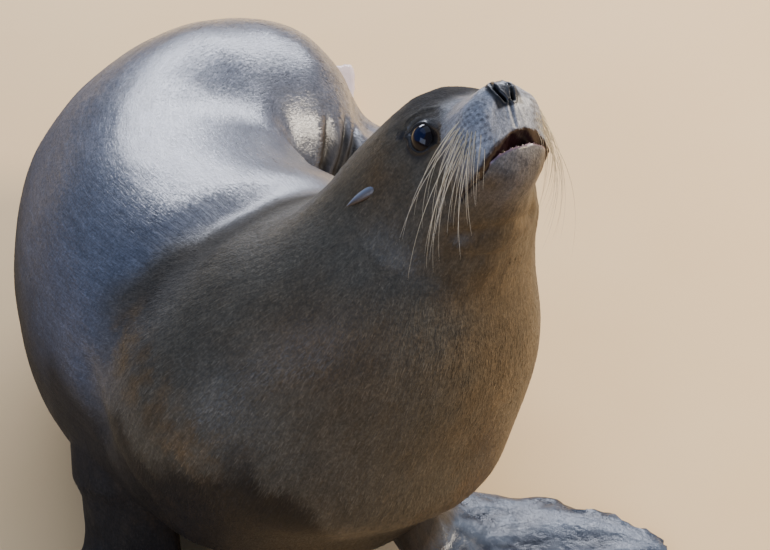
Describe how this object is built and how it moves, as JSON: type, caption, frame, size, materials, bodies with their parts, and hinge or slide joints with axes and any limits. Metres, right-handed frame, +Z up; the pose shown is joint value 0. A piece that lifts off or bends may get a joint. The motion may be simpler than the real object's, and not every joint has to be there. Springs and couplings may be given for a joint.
{
  "type": "sea lion model",
  "caption": "Life-size still model of a sea lion with its chest and head raised and its hind end curled round beside it.",
  "frame": {"origin": "on the floor, under the middle of the whole body", "axes": "+Z up, chest and muzzle towards -Y, the animal's left towards +X at the chest, longest extent along Y"},
  "size_m": [0.8518, 1.2372, 0.7987],
  "materials": {
    "fur": "short wet fur that lies flat, dark grey-brown",
    "flipper_skin": "bare wet blue-grey skin",
    "eye": "wet dark brown eyeball",
    "nose": "bare wet blue-black pad",
    "mouth": "wet pink flesh",
    "tooth": "glossy cream enamel",
    "nail": "dark brown horn"
  },
  "bodies": {
    "root": {"head": "fur", "lower_jaw": "fur", "neck": "fur", "chest": "fur", "ribs": "fur", "loin": "fur", "hindquarters": "fur", "tail": "fur", "ear_left": "fur", "ear_right": "fur", "foreflipper_left": "flipper_skin", "foreflipper_right": "flipper_skin", "hindflipper_left": "flipper_skin", "hindflipper_right": "flipper_skin", "eye_left": "eye", "eye_right": "eye", "nose_pad": "nose", "tongue": "mouth", "lower_teeth": "tooth", "nail_hindflipper_left_1": "nail", "nail_hindflipper_left_2": "nail", "nail_hindflipper_left_3": "nail", "nail_hindflipper_right_1": "nail", "nail_hindflipper_right_2": "nail", "nail_hindflipper_right_3": "nail"}
  },
  "joints": []
}
